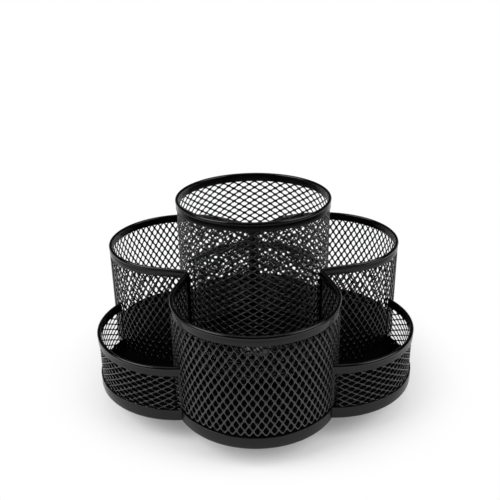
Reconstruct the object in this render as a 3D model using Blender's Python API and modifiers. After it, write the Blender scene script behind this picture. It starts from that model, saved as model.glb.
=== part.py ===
"""Rotating desk organizer: seven round cups of black steel mesh on a ball-bearing turntable.

A tall cup stands in the middle. Three middle cups lean against it, 120 degrees apart, and three low cups
fill the places between them. All walls stand in one flower-shaped tray, which turns on the base.
Metres, +Z up, -Y towards the viewer, origin on the desk at the spin axis.
"""
import math

import bmesh
import bpy

# Cups: outer radii of the rims, and rim heights over the tray's underside
TALL_CUP_RADIUS = 0.0420
MIDDLE_CUP_WIDENING = 0.0004
MIDDLE_CUP_RADIUS = TALL_CUP_RADIUS + MIDDLE_CUP_WIDENING
LOW_CUP_RADIUS = 0.0457
TALL_CUP_HEIGHT = 0.0955
MIDDLE_CUP_HEIGHT = 0.0610
LOW_CUP_HEIGHT = 0.0312
# Angle by which a middle wall leaves its circle before it reaches the tall cup
TURN_IN_ANGLE = math.radians(22.4)

# Sheet steel, mesh and the clearance between pieces that touch
SHEET = 0.0004
MESH_THICKNESS = 0.0005
GAP = 0.0003
OVERRUN = 0.0020

# Rolled rims and the strips that bind the upright edges of the mesh
RIM_HEIGHT = 0.0049
RIM_CROWN = 0.0010
RIM_ROUND = 0.0006
STRIP_WIDTH = 0.0035

# Openings that stand for the mesh: a column of them for every OPENING_PITCH facets of a wall, one facet
# of which stays as a bar
OPENING_PITCH = 3
OPENING_BAR = 0.0028
OPENING_MARGIN = 0.0008
TALL_OPENING_ROWS = 6
MIDDLE_OPENING_ROWS = 4
LOW_OPENING_ROWS = 2

# Tray with an upstanding lip
TRAY_FLOOR = 0.0006
TRAY_LIP_HEIGHT = 0.0067
TRAY_BEND_RADIUS = 0.0012
TRAY_HOLE_RADIUS = 0.0095
FOOT_RING_HEIGHT = 0.0045

# Base with rubber feet
BASE_RADIUS = 0.0500
BASE_THICKNESS = 0.0010
BASE_FLANGE_HEIGHT = 0.0022
BASE_ROUND = 0.0005
FOOT_RADIUS = 0.0060
FOOT_HEIGHT = 0.0018
FOOT_ROUND = 0.0004
FOOT_EDGE_MARGIN = 0.0030
FOOT_COUNT = 4

# Ball bearing
RACE_RADIUS = 0.0330
RACE_WIDTH = 0.0100
RACE_WEB = 0.0008
BALL_RADIUS = 0.0020
BALL_PLAY = 0.00025
BALL_COUNT = 8
CAGE_THICKNESS = 0.0008
CAGE_SETBACK = 0.0005
UPPER_PLATE_MARGIN = 0.0020
UPPER_PLATE_THICKNESS = 0.0010

# Centre rivet, its washer and the rivets that hold the tray
PIVOT_RADIUS = 0.0030
PIVOT_HEAD_RADIUS = 0.0055
PIVOT_HEAD_HEIGHT = 0.0012
PIVOT_FOOT_HEIGHT = 0.0007
WASHER_RADIUS = 0.0075
WASHER_THICKNESS = 0.0006
RIVET_RADIUS = 0.0016
RIVET_HEAD_RADIUS = 0.0031
RIVET_HEAD_HEIGHT = 0.0009
RIVET_HEAD_ROUND = 0.0004
RIVET_RACE_MARGIN = 0.0049
RIVET_COUNT = 4

# Fineness of the round shapes
ARC_STEP = math.radians(7.5)
TURN_STEPS = 48
HOLE_STEPS = 16
GROOVE_STEPS = 6
ROUND_STEPS = 2
BALL_SEGMENTS = 10
BALL_RINGS = 6
MERGE_DISTANCE = 0.00001

# Directions of the cups around the spin axis
MIDDLE_CUPS = {
    "front_cup": math.radians(-90),
    "right_cup": math.radians(30),
    "left_cup": math.radians(150),
}
LOW_CUPS = {
    "low_right_cup": math.radians(-30),
    "low_rear_cup": math.radians(90),
    "low_left_cup": math.radians(210),
}
CUP_SPACING = math.radians(60)

# Places worked out from the sizes
RIM_THICKNESS = SHEET + GAP + MESH_THICKNESS + GAP + SHEET
MESH_OUTER = SHEET + GAP
MESH_INNER = MESH_OUTER + MESH_THICKNESS
CHANNEL_INNER = MESH_INNER + GAP

base_low = FOOT_HEIGHT + GAP
base_high = base_low + BASE_THICKNESS
race_low = base_high + GAP
ball_level = race_low + RACE_WEB + BALL_PLAY + BALL_RADIUS
race_split = CAGE_THICKNESS / 2 + GAP
race_high = 2 * ball_level - race_low
plate_low = race_high + GAP
plate_high = plate_low + UPPER_PLATE_THICKNESS
tray_low = plate_high + GAP
floor_high = tray_low + TRAY_FLOOR
lip_high = tray_low + TRAY_LIP_HEIGHT
wall_low = floor_high + GAP

race_inner = RACE_RADIUS - RACE_WIDTH / 2
race_outer = RACE_RADIUS + RACE_WIDTH / 2
foot_circle_radius = BASE_RADIUS - BASE_THICKNESS - FOOT_EDGE_MARGIN - FOOT_RADIUS
rivet_circle_radius = race_inner - RIVET_RACE_MARGIN - RIVET_HEAD_RADIUS
upper_plate_radius = race_outer + UPPER_PLATE_MARGIN

TALL_STOP = TALL_CUP_RADIUS + GAP
corner_angle = CUP_SPACING - math.asin(GAP / 2 / TALL_STOP)
corner = (TALL_STOP * math.cos(corner_angle), TALL_STOP * math.sin(corner_angle))
corner_reach = MIDDLE_CUP_RADIUS / math.cos(TURN_IN_ANGLE)
MIDDLE_DISTANCE = corner[0] + math.sqrt(corner_reach**2 - corner[1] ** 2)
REACH = MIDDLE_DISTANCE + MIDDLE_CUP_RADIUS
LOW_DISTANCE = REACH - LOW_CUP_RADIUS
turn_in_start = math.atan2(corner[1], corner[0] - MIDDLE_DISTANCE) - TURN_IN_ANGLE
MIDDLE_STOP = MIDDLE_CUP_RADIUS - MESH_OUTER + GAP


def clear_scene():
    for obj in list(bpy.data.objects):
        bpy.data.objects.remove(obj, do_unlink=True)


def new_collection(name):
    collection = bpy.data.collections.new(name)
    bpy.context.scene.collection.children.link(collection)
    return collection


def make_material(name, color, metallic, roughness):
    material = bpy.data.materials.new(name)
    material.use_nodes = True
    shader = material.node_tree.nodes["Principled BSDF"]
    shader.inputs["Base Color"].default_value = (*color, 1.0)
    shader.inputs["Metallic"].default_value = metallic
    shader.inputs["Roughness"].default_value = roughness
    return material


def paint(name):
    return make_material(name, (0.020, 0.020, 0.021), 0.4, 0.38)


# Flat outlines


def arc(center, radius, start, end, facets=0):
    """Points on a circle from start to end, by default an even number of steps of at most ARC_STEP."""
    count = facets or 2 * max(1, math.ceil(abs(end - start) / 2 / ARC_STEP))
    points = []
    for i in range(count + 1):
        angle = start + (end - start) * i / count
        points.append((center + radius * math.cos(angle), radius * math.sin(angle)))
    return points


def mirrored(points):
    return [(x, -y) for x, y in reversed(points)]


def middle_end(inset, stop):
    """Where the straight end of a middle wall, inset inwards, meets a circle round the tall cup."""
    normal = (math.cos(turn_in_start), math.sin(turn_in_start))
    along = (-normal[1], normal[0])
    x = MIDDLE_DISTANCE + (MIDDLE_CUP_RADIUS - inset) * normal[0]
    y = (MIDDLE_CUP_RADIUS - inset) * normal[1]
    half = x * along[0] + y * along[1]
    length = -half - math.sqrt(half**2 - (x**2 + y**2 - stop**2))
    return (x + length * along[0], y + length * along[1]), along


def middle_path(inset, stop):
    """A middle wall's plan with the cup's axis along +X: an arc with a straight run to the tall cup."""
    turn = arc(MIDDLE_DISTANCE, MIDDLE_CUP_RADIUS - inset, -turn_in_start, turn_in_start)
    end, _ = middle_end(inset, stop)
    return [(end[0], -end[1])] + turn + [end]


def crossing(own_distance, own_radius, other_distance, other_radius):
    """Direction, from its own centre, in which a circle meets its neighbour's circle on the outside."""
    dx = other_distance * math.cos(CUP_SPACING) - own_distance
    dy = other_distance * math.sin(CUP_SPACING)
    between = math.hypot(dx, dy)
    share = (between**2 + own_radius**2 - other_radius**2) / (2 * between * own_radius)
    return math.atan2(dy, dx) - math.acos(share)


def low_end_angle(inset, stop):
    return crossing(LOW_DISTANCE, LOW_CUP_RADIUS - inset, MIDDLE_DISTANCE, stop)


def low_path(inset, stop):
    """A low wall's plan with the cup's axis along +X: an arc that ends at both middle cups.

    It has the same number of steps at every inset.
    """
    end = low_end_angle(inset, stop)
    facets = 2 * math.ceil(low_end_angle(0, MIDDLE_STOP) / ARC_STEP)
    return arc(LOW_DISTANCE, LOW_CUP_RADIUS - inset, -end, end, facets)


def band(path, outer, inner, stop):
    """Closed outline between two insets of one path."""
    return path(outer, stop) + list(reversed(path(inner, stop)))


def turned(points, angle):
    cos = math.cos(angle)
    sin = math.sin(angle)
    return [(x * cos - y * sin, x * sin + y * cos) for x, y in points]


def tray_outline(inset):
    """Flower outline that runs round the outside of all six outer cups."""
    middle = MIDDLE_CUP_RADIUS - inset
    low = LOW_CUP_RADIUS - inset
    middle_angle = crossing(MIDDLE_DISTANCE, middle, LOW_DISTANCE, low)
    low_angle = crossing(LOW_DISTANCE, low, MIDDLE_DISTANCE, middle)
    middle_arc = arc(MIDDLE_DISTANCE, middle, -middle_angle, middle_angle)
    low_arc = arc(LOW_DISTANCE, low, -low_angle, low_angle)
    points = []
    for middle_direction, low_direction in zip(MIDDLE_CUPS.values(), LOW_CUPS.values()):
        points += turned(middle_arc, middle_direction)[:-1]
        points += turned(low_arc, low_direction)[:-1]
    return points


def middle_strip_outline():
    """Channel round the upright edge of a middle wall, closed towards the tall cup."""
    back = TALL_STOP + SHEET
    points = []
    for inset, stop, reach in (
        (0, TALL_STOP, 0),
        (0, TALL_STOP, STRIP_WIDTH),
        (SHEET, TALL_STOP, STRIP_WIDTH),
        (SHEET, back, 0),
        (CHANNEL_INNER, back, 0),
        (CHANNEL_INNER, TALL_STOP, STRIP_WIDTH),
        (RIM_THICKNESS, TALL_STOP, STRIP_WIDTH),
        (RIM_THICKNESS, TALL_STOP, 0),
    ):
        end, along = middle_end(inset, stop)
        points.append((end[0] - reach * along[0], end[1] - reach * along[1]))
    return points


def low_strip_outline():
    """Channel round the upright edge of a low wall, closed towards the middle cup."""
    width = STRIP_WIDTH / LOW_CUP_RADIUS
    back = MIDDLE_STOP + SHEET
    far = low_end_angle(0, MIDDLE_STOP) - width
    points = []
    for outer, inner, stop in ((0, SHEET, back), (CHANNEL_INNER, RIM_THICKNESS, back)):
        if outer == 0:
            start = low_end_angle(0, MIDDLE_STOP)
            points += arc(LOW_DISTANCE, LOW_CUP_RADIUS, start, far)
            points += arc(LOW_DISTANCE, LOW_CUP_RADIUS - inner, far, low_end_angle(inner, stop))
        else:
            start = low_end_angle(outer, stop)
            points += arc(LOW_DISTANCE, LOW_CUP_RADIUS - outer, start, far)
            end = low_end_angle(inner, MIDDLE_STOP)
            points += arc(LOW_DISTANCE, LOW_CUP_RADIUS - inner, far, end)
    return points


# Solids


def mesh_object(name, mesh, collection):
    obj = bpy.data.objects.new(name, mesh)
    collection.objects.link(obj)
    return obj


def plate(name, outline, low, high, collection):
    """Flat outline, extruded from one height to the other."""
    curve = bpy.data.curves.new(name + "_outline", "CURVE")
    curve.dimensions = "2D"
    curve.fill_mode = "BOTH"
    curve.extrude = (high - low) / 2
    spline = curve.splines.new("POLY")
    spline.points.add(len(outline) - 1)
    for point, (x, y) in zip(spline.points, outline):
        point.co = (x, y, 0, 1)
    spline.use_cyclic_u = True
    sketch = bpy.data.objects.new(name + "_outline", curve)
    sketch.location.z = (low + high) / 2
    bpy.context.scene.collection.objects.link(sketch)
    bpy.context.view_layer.update()
    mesh = bpy.data.meshes.new_from_object(sketch.evaluated_get(bpy.context.evaluated_depsgraph_get()))
    mesh.transform(sketch.matrix_world)
    bpy.data.objects.remove(sketch)
    mesh.name = name
    shape = bmesh.new()
    shape.from_mesh(mesh)
    bmesh.ops.remove_doubles(shape, verts=shape.verts, dist=MERGE_DISTANCE)
    bmesh.ops.recalc_face_normals(shape, faces=shape.faces)
    shape.to_mesh(mesh)
    shape.free()
    return mesh_object(name, mesh, collection)


def round_edges(obj, level, radius):
    """Rounds the sharp edges that lie at one height."""
    shape = bmesh.new()
    shape.from_mesh(obj.data)
    weight = shape.edges.layers.float.new("bevel_weight_edge")
    for edge in shape.edges:
        flat = all(abs(vert.co.z - level) < MERGE_DISTANCE for vert in edge.verts)
        if flat and edge.calc_face_angle(0) > TURN_IN_ANGLE:
            edge[weight] = 1.0
    shape.to_mesh(obj.data)
    shape.free()
    bevel = obj.modifiers.new("Rounded edge", "BEVEL")
    bevel.limit_method = "WEIGHT"
    bevel.width = radius
    bevel.segments = ROUND_STEPS
    bevel.use_clamp_overlap = False


def turn(name, profile, collection, closed=True, steps=TURN_STEPS):
    """Turns a profile of (radius, height) round the Z axis. It runs down its outer side."""
    mesh = bpy.data.meshes.new(name)
    count = len(profile)
    edges = [(i, i + 1) for i in range(count - 1)]
    if closed:
        edges.append((count - 1, 0))
    mesh.from_pydata([(radius, 0, height) for radius, height in profile], edges, [])
    obj = mesh_object(name, mesh, collection)
    screw = obj.modifiers.new("Turn", "SCREW")
    screw.axis = "Z"
    screw.steps = steps
    screw.render_steps = steps
    screw.use_merge_vertices = True
    screw.merge_threshold = MERGE_DISTANCE
    return obj


def pin(profile_name, radius, low, high, spots, collection):
    """Round cutters, one at each spot."""
    mesh = bpy.data.meshes.new(profile_name)
    shape = bmesh.new()
    for x, y in spots:
        made = bmesh.ops.create_cone(
            shape,
            cap_ends=True,
            segments=HOLE_STEPS,
            radius1=radius,
            radius2=radius,
            depth=high - low,
        )
        bmesh.ops.translate(shape, verts=made["verts"], vec=(x, y, (low + high) / 2))
    shape.to_mesh(mesh)
    shape.free()
    return mesh_object(profile_name, mesh, collection)


def cut(obj, cutter):
    cutter.hide_render = True
    cutter.display_type = "WIRE"
    boolean = obj.modifiers.new("Cut " + cutter.name, "BOOLEAN")
    boolean.operation = "DIFFERENCE"
    boolean.object = cutter


def opening_levels(bottom, low, high, top, rows):
    """Heights at which a wall's rows of openings begin and end, between its lower and its upper edge."""
    pitch = (high - low + OPENING_BAR) / rows
    levels = [bottom]
    for row in range(rows):
        levels += [low + row * pitch, low + (row + 1) * pitch - OPENING_BAR]
    return levels + [top]


def openwork(name, outer, inner, levels, collection, plain=0, closed=False):
    """Upright sheet between an outer and an inner plan, with a grid of openings.

    Every other stretch between the levels has them. plain is the number of facets without openings at
    each end of the plan, and a closed plan runs round.
    """
    mesh = bpy.data.meshes.new(name)
    shape = bmesh.new()
    front = [[shape.verts.new((x, y, z)) for x, y in outer] for z in levels]
    back = [[shape.verts.new((x, y, z)) for x, y in inner] for z in levels]
    count = len(outer)
    columns = count if closed else count - 1
    bars = 0 if closed else 1
    last = plain + (columns - 2 * plain - bars) // OPENING_PITCH * OPENING_PITCH
    for row in range(len(levels) - 1):
        for column in range(columns):
            if row % 2 and plain <= column < last and (column - plain) % OPENING_PITCH:
                continue
            beside = (column + 1) % count
            for side in (front, back):
                below, above = side[row], side[row + 1]
                shape.faces.new((below[column], below[beside], above[beside], above[column]))
    behind = {vert: twin for near, far in zip(front, back) for vert, twin in zip(near, far)}
    for edge in [edge for edge in shape.edges if edge.is_boundary and edge.verts[0] in behind]:
        first, second = edge.verts
        shape.faces.new((first, second, behind[second], behind[first]))
    bmesh.ops.recalc_face_normals(shape, faces=shape.faces)
    shape.to_mesh(mesh)
    shape.free()
    return mesh_object(name, mesh, collection)


def settle(obj):
    """Fixes a piece's modifiers into its mesh, so that the piece can be turned and copied."""
    bpy.context.view_layer.update()
    shown = obj.evaluated_get(bpy.context.evaluated_depsgraph_get())
    mesh = bpy.data.meshes.new_from_object(shown)
    obj.modifiers.clear()
    obj.data = mesh


def around(radius, count, start=0.0):
    """Spots evenly spread on a circle."""
    step = 2 * math.pi / count
    return [(radius * math.cos(start + i * step), radius * math.sin(start + i * step)) for i in range(count)]


def rounded_side(radius, low, high, rounding):
    """Outer side of a disc's profile, from the top down, with both edges rounded."""
    return [
        (radius - rounding, high),
        (radius, high - rounding),
        (radius, low + rounding),
        (radius - rounding, low),
    ]


def finish(obj, material, parent, direction=0.0):
    obj.data.materials.clear()
    obj.data.materials.append(material)
    obj.rotation_euler.z = direction
    obj.parent = parent
    return obj


def copies(source, names, material, parent):
    """One object for each cup, turned into its direction, sharing the first one's shape."""
    for index, (name, direction) in enumerate(names.items()):
        obj = source
        if index:
            obj = source.copy()
            parts.objects.link(obj)
        obj.name = name
        obj.rotation_euler.z = direction
        obj.parent = parent
        obj.data.materials.clear()
        obj.data.materials.append(material)


def channel_rim(name, path, stop, high):
    """Rolled rim: a band with a rounded crown and a groove below that takes the mesh."""
    low = high - RIM_HEIGHT
    rim = plate(name, band(path, 0, RIM_THICKNESS, stop), low, high, parts)
    round_edges(rim, high, RIM_ROUND)
    groove = band(path, SHEET, CHANNEL_INNER, stop - OVERRUN)
    cut(rim, plate(name + "_groove", groove, low - OVERRUN, high - RIM_CROWN, cutters))
    settle(rim)
    return rim


clear_scene()
parts = new_collection("rotating_desk_organizer")
cutters = new_collection("cutters")

spin = bpy.data.objects.new("organizer_spin", None)
parts.objects.link(spin)
cage_spin = bpy.data.objects.new("cage_spin", None)
parts.objects.link(cage_spin)


# Rubber feet under the base
def build_feet():
    rubber = make_material("foot_rubber", (0.03, 0.03, 0.03), 0.0, 0.85)
    side = rounded_side(FOOT_RADIUS, 0, FOOT_HEIGHT, FOOT_ROUND)
    profile = [(0, FOOT_HEIGHT)] + side + [(0, 0)]
    first = turn("foot_1", profile, parts, closed=False, steps=HOLE_STEPS)
    for index, (x, y) in enumerate(around(foot_circle_radius, FOOT_COUNT, math.pi / FOOT_COUNT)):
        foot = first
        if index:
            foot = first.copy()
            parts.objects.link(foot)
        foot.name = "foot_" + str(index + 1)
        foot.location = (x, y, 0)
        finish(foot, rubber, None)


# Pressed steel base with its edge turned down
def build_base():
    edge_low = base_high - BASE_FLANGE_HEIGHT
    hole = PIVOT_RADIUS + GAP
    profile = [
        (hole, base_high),
        (BASE_RADIUS - BASE_ROUND, base_high),
        (BASE_RADIUS, base_high - BASE_ROUND),
        (BASE_RADIUS, edge_low),
        (BASE_RADIUS - BASE_THICKNESS, edge_low),
        (BASE_RADIUS - BASE_THICKNESS, base_low),
        (hole, base_low),
    ]
    finish(turn("base_plate", profile, parts), paint("base_paint"), None)


def race_profile(low, high, split):
    """Ring with a groove that follows the balls. Split is the face towards the balls."""
    groove = BALL_RADIUS + BALL_PLAY
    half = math.acos(abs(split - ball_level) / groove)
    points = []
    for i in range(GROOVE_STEPS + 1):
        angle = half * (2 * i / GROOVE_STEPS - 1)
        points.append((groove * math.sin(angle), groove * math.cos(angle)))
    if split == high:
        groove_points = [(RACE_RADIUS + x, ball_level - y) for x, y in points]
        return [(race_outer, high), (race_outer, low), (race_inner, low), (race_inner, high)] + groove_points
    groove_points = [(RACE_RADIUS - x, ball_level + y) for x, y in points]
    return [(race_outer, high), (race_outer, low)] + groove_points + [(race_inner, low), (race_inner, high)]


# Two races, a cage and its balls
def build_bearing():
    steel = make_material("bearing_steel", (0.55, 0.55, 0.56), 1.0, 0.35)
    split = ball_level - race_split
    finish(turn("lower_race", race_profile(race_low, split, split), parts), steel, None)
    split = ball_level + race_split
    upper_steel = make_material("upper_race_steel", (0.55, 0.55, 0.56), 1.0, 0.35)
    finish(turn("upper_race", race_profile(split, race_high, split), parts), upper_steel, spin)

    high = ball_level + CAGE_THICKNESS / 2
    low = ball_level - CAGE_THICKNESS / 2
    profile = [
        (race_outer - CAGE_SETBACK, high),
        (race_outer - CAGE_SETBACK, low),
        (race_inner + CAGE_SETBACK, low),
        (race_inner + CAGE_SETBACK, high),
    ]
    cage = turn("ball_cage", profile, parts)
    spots = around(RACE_RADIUS, BALL_COUNT)
    cut(cage, pin("ball_pockets", BALL_RADIUS + BALL_PLAY, low - OVERRUN, high + OVERRUN, spots, cutters))
    finish(cage, make_material("cage_plastic", (0.75, 0.74, 0.70), 0.0, 0.5), cage_spin)

    mesh = bpy.data.meshes.new("ball")
    shape = bmesh.new()
    bmesh.ops.create_uvsphere(shape, u_segments=BALL_SEGMENTS, v_segments=BALL_RINGS, radius=BALL_RADIUS)
    shape.to_mesh(mesh)
    shape.free()
    ball_steel = make_material("ball_steel", (0.75, 0.75, 0.76), 1.0, 0.15)
    for index, (x, y) in enumerate(spots):
        ball = mesh_object("ball_" + str(index + 1), mesh, parts)
        ball.location = (x, y, ball_level)
        finish(ball, ball_steel, cage_spin)


# Upper plate of the turntable, riveted under the tray
def build_upper_plate():
    hole = PIVOT_RADIUS + GAP
    profile = [
        (upper_plate_radius, plate_high),
        (upper_plate_radius, plate_low),
        (hole, plate_low),
        (hole, plate_high),
    ]
    upper = turn("upper_plate", profile, parts)
    cut(upper, tray_holes)
    finish(upper, make_material("plate_zinc", (0.50, 0.50, 0.51), 1.0, 0.42), spin)


# Rivets through the tray and the upper plate
def build_tray_rivets():
    head_low = floor_high + GAP
    head_high = head_low + RIVET_HEAD_HEIGHT
    foot_high = plate_low - GAP
    foot_low = foot_high - RIVET_HEAD_HEIGHT
    profile = [
        (0, head_high),
        (RIVET_HEAD_RADIUS - RIVET_HEAD_ROUND, head_high),
        (RIVET_HEAD_RADIUS, head_high - RIVET_HEAD_ROUND),
        (RIVET_HEAD_RADIUS, head_low),
        (RIVET_RADIUS, head_low),
        (RIVET_RADIUS, foot_high),
        (RIVET_HEAD_RADIUS, foot_high),
        (RIVET_HEAD_RADIUS, foot_low),
        (0, foot_low),
    ]
    material = paint("rivet_paint")
    first = turn("tray_rivet_1", profile, parts, closed=False, steps=HOLE_STEPS)
    for index, (x, y) in enumerate(around(rivet_circle_radius, RIVET_COUNT, math.pi / RIVET_COUNT)):
        rivet = first
        if index:
            rivet = first.copy()
            parts.objects.link(rivet)
        rivet.name = "tray_rivet_" + str(index + 1)
        rivet.location = (x, y, 0)
        finish(rivet, material, spin)


# Centre rivet, fixed in the base, and the washer under its head
def build_pivot():
    foot_high = base_low - GAP
    foot_low = foot_high - PIVOT_FOOT_HEIGHT
    washer_low = plate_high + GAP
    washer_high = washer_low + WASHER_THICKNESS
    head_low = washer_high + GAP
    head_high = head_low + PIVOT_HEAD_HEIGHT
    profile = [
        (0, head_high),
        (PIVOT_HEAD_RADIUS - RIM_ROUND, head_high),
        (PIVOT_HEAD_RADIUS, head_high - RIM_ROUND),
        (PIVOT_HEAD_RADIUS, head_low),
        (PIVOT_RADIUS, head_low),
        (PIVOT_RADIUS, foot_high),
        (PIVOT_HEAD_RADIUS, foot_high),
        (PIVOT_HEAD_RADIUS, foot_low),
        (0, foot_low),
    ]
    steel = make_material("pivot_steel", (0.60, 0.60, 0.61), 1.0, 0.3)
    finish(turn("centre_rivet", profile, parts, closed=False, steps=HOLE_STEPS), steel, None)
    hole = PIVOT_RADIUS + GAP
    ring = [
        (WASHER_RADIUS, washer_high),
        (WASHER_RADIUS, washer_low),
        (hole, washer_low),
        (hole, washer_high),
    ]
    washer_steel = make_material("washer_steel", (0.6, 0.6, 0.61), 1.0, 0.3)
    finish(turn("pivot_washer", ring, parts, steps=HOLE_STEPS), washer_steel, None)


# Flower-shaped tray: floor and lip pressed from one sheet
def build_tray():
    tray = plate("base_tray", tray_outline(0), tray_low, lip_high, parts)
    round_edges(tray, tray_low, TRAY_BEND_RADIUS)
    hollow = plate("tray_hollow", tray_outline(SHEET), floor_high, lip_high + OVERRUN, cutters)
    round_edges(hollow, floor_high, TRAY_BEND_RADIUS - SHEET)
    cut(tray, hollow)
    center_hole = pin(
        "tray_center_hole", TRAY_HOLE_RADIUS, tray_low - OVERRUN, floor_high + OVERRUN, [(0, 0)], cutters
    )
    cut(tray, center_hole)
    cut(tray, tray_holes)
    finish(tray, paint("tray_paint"), spin)


# Tall cup: mesh tube with a rolled rim above and a foot ring below
def build_tall_cup():
    high = tray_low + TALL_CUP_HEIGHT
    low = high - RIM_HEIGHT
    outer = TALL_CUP_RADIUS
    inner = TALL_CUP_RADIUS - RIM_THICKNESS
    rim = [
        (outer - RIM_ROUND, high),
        (outer, high - RIM_ROUND),
        (outer, low),
        (outer - SHEET, low),
        (outer - SHEET, high - RIM_CROWN),
        (outer - CHANNEL_INNER, high - RIM_CROWN),
        (outer - CHANNEL_INNER, low),
        (inner, low),
        (inner, high - RIM_ROUND),
        (inner + RIM_ROUND, high),
    ]
    finish(turn("tall_cup_rim", rim, parts), paint("tall_rim_paint"), spin)

    ring_low = wall_low
    ring_high = ring_low + FOOT_RING_HEIGHT
    ring = [
        (outer, ring_high),
        (outer, ring_low),
        (inner, ring_low),
        (inner, ring_high),
        (outer - CHANNEL_INNER, ring_high),
        (outer - CHANNEL_INNER, ring_low + SHEET),
        (outer - SHEET, ring_low + SHEET),
        (outer - SHEET, ring_high),
    ]
    finish(turn("tall_cup_foot_ring", ring, parts), paint("foot_ring_paint"), spin)

    top = high - RIM_CROWN - GAP
    bottom = ring_low + SHEET + GAP
    levels = opening_levels(bottom, lip_high + OPENING_MARGIN, low - OPENING_MARGIN, top, TALL_OPENING_ROWS)
    outside = around(outer - MESH_OUTER, TURN_STEPS)
    inside = around(outer - MESH_INNER, TURN_STEPS)
    wall = openwork("tall_cup_wall", outside, inside, levels, parts, closed=True)
    finish(wall, paint("tall_mesh_paint"), spin)


# Middle cups: each wall is an arc whose ends run straight into the corners on the tall cup
def build_middle_cups():
    high = tray_low + MIDDLE_CUP_HEIGHT
    low = high - RIM_HEIGHT
    top = high - RIM_CROWN - GAP
    back = TALL_STOP + SHEET + GAP
    levels = opening_levels(
        wall_low, lip_high + OPENING_MARGIN, low - OPENING_MARGIN, top, MIDDLE_OPENING_ROWS
    )
    outside = middle_path(MESH_OUTER, back)
    wall = openwork("middle_wall", outside, middle_path(MESH_INNER, back), levels, parts, plain=1)
    names = {cup + "_wall": angle for cup, angle in MIDDLE_CUPS.items()}
    copies(wall, names, paint("middle_mesh_paint"), spin)

    rim = channel_rim("middle_rim", middle_path, TALL_STOP, high)
    names = {cup + "_rim": angle for cup, angle in MIDDLE_CUPS.items()}
    copies(rim, names, paint("middle_rim_paint"), spin)

    strip_high = low - GAP
    outline = middle_strip_outline()
    for side, points in (("left", outline), ("right", mirrored(outline))):
        strip = plate("middle_strip_" + side, points, wall_low, strip_high, parts)
        names = {cup + "_strip_" + side: angle for cup, angle in MIDDLE_CUPS.items()}
        copies(strip, names, paint("middle_strip_paint_" + side), spin)


# Low cups: each wall is an arc from one middle cup to the next
def build_low_cups():
    high = tray_low + LOW_CUP_HEIGHT
    low = high - RIM_HEIGHT
    top = high - RIM_CROWN - GAP
    back = MIDDLE_STOP + SHEET + GAP
    levels = opening_levels(
        wall_low, lip_high + OPENING_MARGIN, low - OPENING_MARGIN, top, LOW_OPENING_ROWS
    )
    wall = openwork("low_wall", low_path(MESH_OUTER, back), low_path(MESH_INNER, back), levels, parts)
    names = {cup + "_wall": angle for cup, angle in LOW_CUPS.items()}
    copies(wall, names, paint("low_mesh_paint"), spin)

    rim = channel_rim("low_rim", low_path, MIDDLE_STOP, high)
    names = {cup + "_rim": angle for cup, angle in LOW_CUPS.items()}
    copies(rim, names, paint("low_rim_paint"), spin)

    strip_low = lip_high + GAP
    strip_high = low - GAP
    outline = low_strip_outline()
    for side, points in (("left", outline), ("right", mirrored(outline))):
        strip = plate("low_strip_" + side, points, strip_low, strip_high, parts)
        names = {cup + "_strip_" + side: angle for cup, angle in LOW_CUPS.items()}
        copies(strip, names, paint("low_strip_paint_" + side), spin)


tray_holes = pin(
    "tray_rivet_holes",
    RIVET_RADIUS + GAP,
    plate_low - OVERRUN,
    floor_high + OVERRUN,
    around(rivet_circle_radius, RIVET_COUNT, math.pi / RIVET_COUNT),
    cutters,
)
build_feet()
build_base()
build_bearing()
build_upper_plate()
build_tray_rivets()
build_pivot()
build_tray()
build_tall_cup()
build_middle_cups()
build_low_cups()

for part in parts.objects:
    if part.type == "MESH":
        part.data.shade_smooth()
        part.data.set_sharp_from_angle(angle=CUP_SPACING / 2)
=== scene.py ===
"""Rotating desk organizer: seven cups of black expanded steel on a ball-bearing turntable.

The sections follow the object as it is put together: base, turntable, tray, tall cup, middle cups, low
cups. Metres, +Z up, -Y towards the camera, origin on the desk at the spin axis.
"""
import math

import bmesh
import bpy
import numpy as np
from mathutils import Matrix, Vector


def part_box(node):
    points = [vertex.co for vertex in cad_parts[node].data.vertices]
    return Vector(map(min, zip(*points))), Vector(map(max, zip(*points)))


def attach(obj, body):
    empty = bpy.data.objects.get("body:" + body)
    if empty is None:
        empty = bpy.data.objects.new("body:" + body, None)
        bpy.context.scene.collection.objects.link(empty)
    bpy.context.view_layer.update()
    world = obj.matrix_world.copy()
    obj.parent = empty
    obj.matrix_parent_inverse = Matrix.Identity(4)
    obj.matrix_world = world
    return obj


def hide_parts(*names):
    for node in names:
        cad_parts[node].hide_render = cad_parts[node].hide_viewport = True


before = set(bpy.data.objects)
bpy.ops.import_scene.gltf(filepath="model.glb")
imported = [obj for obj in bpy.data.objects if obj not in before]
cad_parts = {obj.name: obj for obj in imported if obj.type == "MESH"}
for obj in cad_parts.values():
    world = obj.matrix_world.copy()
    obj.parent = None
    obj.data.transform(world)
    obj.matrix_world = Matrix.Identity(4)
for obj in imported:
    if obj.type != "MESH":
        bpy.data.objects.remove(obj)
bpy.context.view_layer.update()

# Studio: a white table top with a low white sweep behind it, a wide weak lamp above and a soft box high
# up on each side. The camera looks down at the front cup, a little rolled, as in the photograph.
WHITE = (1.0, 1.0, 1.0, 1.0)
TABLE_HALF = 6.0
TABLE_COLOR = (0.77, 0.77, 0.77, 1.0)
TABLE_ROUGH = 0.9
TABLE_GLOSS = 0.1
TABLE_LIFT = (0.20, 0.20, 0.20, 1.0)
TABLE_FADE = (0.068, 0.131)
GLOSS_FADE = (0.17, 0.42)
TABLE_BACK = (0.0, 0.35)
TABLE_REACH = (0.17, 0.27)
WHITE_ROOM = 1.0
DARK_ROOM = 0.01
ROOM_LIGHT = 0.25
SWEEP_SIDE = (0.10, 0.50)
SWEEP_TOP = (0.12, 0.02)
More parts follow.
